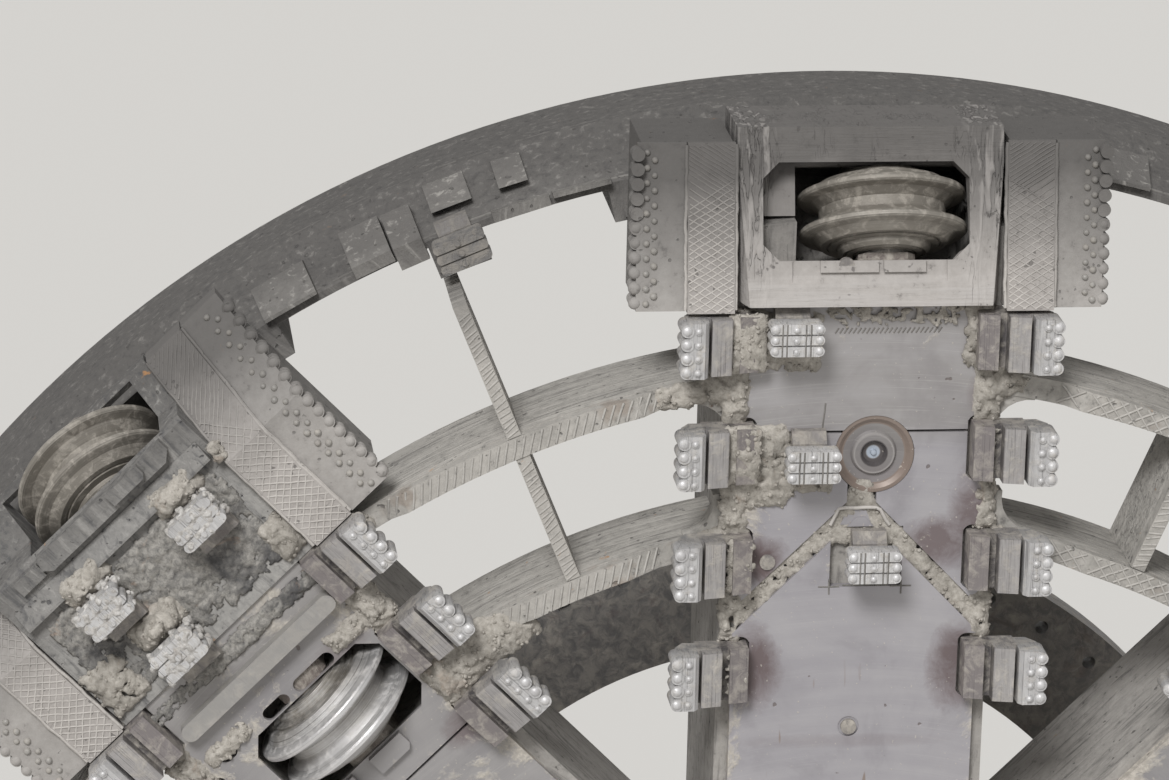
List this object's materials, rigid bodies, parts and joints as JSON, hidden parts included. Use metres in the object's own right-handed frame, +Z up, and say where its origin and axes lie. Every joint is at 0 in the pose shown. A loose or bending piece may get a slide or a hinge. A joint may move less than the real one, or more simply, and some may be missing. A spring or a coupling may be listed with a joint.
{
  "type": "tunnel boring machine cutterhead",
  "caption": "Round spoked tunnelling cutterhead with gauge boxes, scrapers, rippers and free-turning twin disc cutters on a drive flange.",
  "frame": {"origin": "centre of the drive flange's rear face, on the head's own axis", "axes": "+Y along the head's axis into the machine, so the cutting face looks towards -Y; +Z up along one nozzle spoke; +X to the right seen from the front"},
  "size_m": [6.65, 1.7165, 6.65],
  "materials": {
    "caked_steel": "thin dried mud over rolled steel",
    "plate_steel": "scoured flat plate, lilac grey with rust patches",
    "ring_beam_steel": "mud film over steel with hard weld beads",
    "frame_steel": "mud film over welded plate",
    "hardfacing": "hard weld lattice and studs, dried mud between",
    "holder_steel": "dark scuffed steel with rust",
    "blade_steel": "worn grey steel",
    "carbide_steel": "light polished carbide and steel",
    "polished_steel": "polished by the ground",
    "shaft_steel": "dark oiled steel",
    "cutter_steel": "turned steel with a mud film",
    "rear_steel": "dusty steel",
    "machined_steel": "machined face"
  },
  "bodies": {
    "head": {"rim_ring": "caked_steel", "rim_wear_blocks": "caked_steel", "spokes_a": "caked_steel", "spokes_b": "caked_steel", "hub_box": "caked_steel", "hub_cover": "plate_steel", "middle_ring": "ring_beam_steel", "inner_ring": "ring_beam_steel", "radial_bars": "ring_beam_steel", "gauge_boxes_a": "frame_steel", "gauge_boxes_b": "frame_steel", "gauge_wings": "caked_steel", "lattice_strips": "hardfacing", "stud_plates": "hardfacing", "scraper_holders": "holder_steel", "scraper_blades": "blade_steel", "ripper_bases": "holder_steel", "ripper_heads": "carbide_steel", "face_plates_a": "plate_steel", "nozzle_dishes": "plate_steel", "face_plates_b": "plate_steel", "wear_bars": "polished_steel", "cutter_shafts": "shaft_steel", "cutter_clamps": "holder_steel", "drive_legs": "rear_steel", "drive_flange": "machined_steel", "mixing_bars": "rear_steel", "rotary_coupling": "machined_steel", "foam_pipes": "rear_steel"},
    "gauge_disc_a1": {"gauge_cutter_a1": "cutter_steel"},
    "gauge_disc_a2": {"gauge_cutter_a2": "cutter_steel"},
    "gauge_disc_a3": {"gauge_cutter_a3": "cutter_steel"},
    "gauge_disc_a4": {"gauge_cutter_a4": "cutter_steel"},
    "gauge_disc_b1": {"gauge_cutter_b1": "cutter_steel"},
    "gauge_disc_b2": {"gauge_cutter_b2": "cutter_steel"},
    "gauge_disc_b3": {"gauge_cutter_b3": "cutter_steel"},
    "gauge_disc_b4": {"gauge_cutter_b4": "cutter_steel"},
    "face_disc_1": {"face_cutter_1": "cutter_steel"},
    "face_disc_2": {"face_cutter_2": "cutter_steel"},
    "face_disc_3": {"face_cutter_3": "cutter_steel"},
    "face_disc_4": {"face_cutter_4": "cutter_steel"},
    "centre_disc_1": {"centre_cutter_1": "cutter_steel"},
    "centre_disc_2": {"centre_cutter_2": "cutter_steel"},
    "centre_disc_3": {"centre_cutter_3": "cutter_steel"},
    "centre_disc_4": {"centre_cutter_4": "cutter_steel"}
  },
  "joints": [
    {"name": "gauge_cutter_a1_spin", "type": "hinge", "parent": "head", "child": "gauge_disc_a1", "pos_m": [0.052, -1.438, 3.049], "axis": [0, 0.5, 0.866], "continuous": true},
    {"name": "gauge_cutter_a2_spin", "type": "hinge", "parent": "head", "child": "gauge_disc_a2", "pos_m": [3.049, -1.438, -0.052], "axis": [0.866, 0.5, 0], "continuous": true},
    {"name": "gauge_cutter_a3_spin", "type": "hinge", "parent": "head", "child": "gauge_disc_a3", "pos_m": [-0.052, -1.438, -3.049], "axis": [0, 0.5, -0.866], "continuous": true},
    {"name": "gauge_cutter_a4_spin", "type": "hinge", "parent": "head", "child": "gauge_disc_a4", "pos_m": [-3.049, -1.438, 0.052], "axis": [-0.866, 0.5, 0], "continuous": true},
    {"name": "gauge_cutter_b1_spin", "type": "hinge", "parent": "head", "child": "gauge_disc_b1", "pos_m": [2.25143, -1.355, 2.17789], "axis": [0.4545, 0.766, 0.4545], "continuous": true},
    {"name": "gauge_cutter_b2_spin", "type": "hinge", "parent": "head", "child": "gauge_disc_b2", "pos_m": [2.17789, -1.355, -2.25143], "axis": [0.4545, 0.766, -0.4545], "continuous": true},
    {"name": "gauge_cutter_b3_spin", "type": "hinge", "parent": "head", "child": "gauge_disc_b3", "pos_m": [-2.25143, -1.355, -2.17789], "axis": [-0.4545, 0.766, -0.4545], "continuous": true},
    {"name": "gauge_cutter_b4_spin", "type": "hinge", "parent": "head", "child": "gauge_disc_b4", "pos_m": [-2.17789, -1.355, 2.25143], "axis": [-0.4545, 0.766, 0.4545], "continuous": true},
    {"name": "face_cutter_1_spin", "type": "hinge", "parent": "head", "child": "face_disc_1", "pos_m": [1.5818, -1.475, 1.50826], "axis": [0.7071, 0, 0.7071], "continuous": true},
    {"name": "face_cutter_2_spin", "type": "hinge", "parent": "head", "child": "face_disc_2", "pos_m": [1.50826, -1.475, -1.5818], "axis": [0.7071, 0, -0.7071], "continuous": true},
    {"name": "face_cutter_3_spin", "type": "hinge", "parent": "head", "child": "face_disc_3", "pos_m": [-1.5818, -1.475, -1.50826], "axis": [-0.7071, 0, -0.7071], "continuous": true},
    {"name": "face_cutter_4_spin", "type": "hinge", "parent": "head", "child": "face_disc_4", "pos_m": [-1.50826, -1.475, 1.5818], "axis": [-0.7071, 0, 0.7071], "continuous": true},
    {"name": "centre_cutter_1_spin", "type": "hinge", "parent": "head", "child": "centre_disc_1", "pos_m": [0, -1.475, 0.215], "axis": [0, 0, 1], "continuous": true},
    {"name": "centre_cutter_2_spin", "type": "hinge", "parent": "head", "child": "centre_disc_2", "pos_m": [0, -1.475, -0.215], "axis": [0, 0, -1], "continuous": true},
    {"name": "centre_cutter_3_spin", "type": "hinge", "parent": "head", "child": "centre_disc_3", "pos_m": [0.47, -1.475, 0], "axis": [1, 0, 0], "continuous": true},
    {"name": "centre_cutter_4_spin", "type": "hinge", "parent": "head", "child": "centre_disc_4", "pos_m": [-0.47, -1.475, 0], "axis": [-1, 0, 0], "continuous": true}
  ]
}
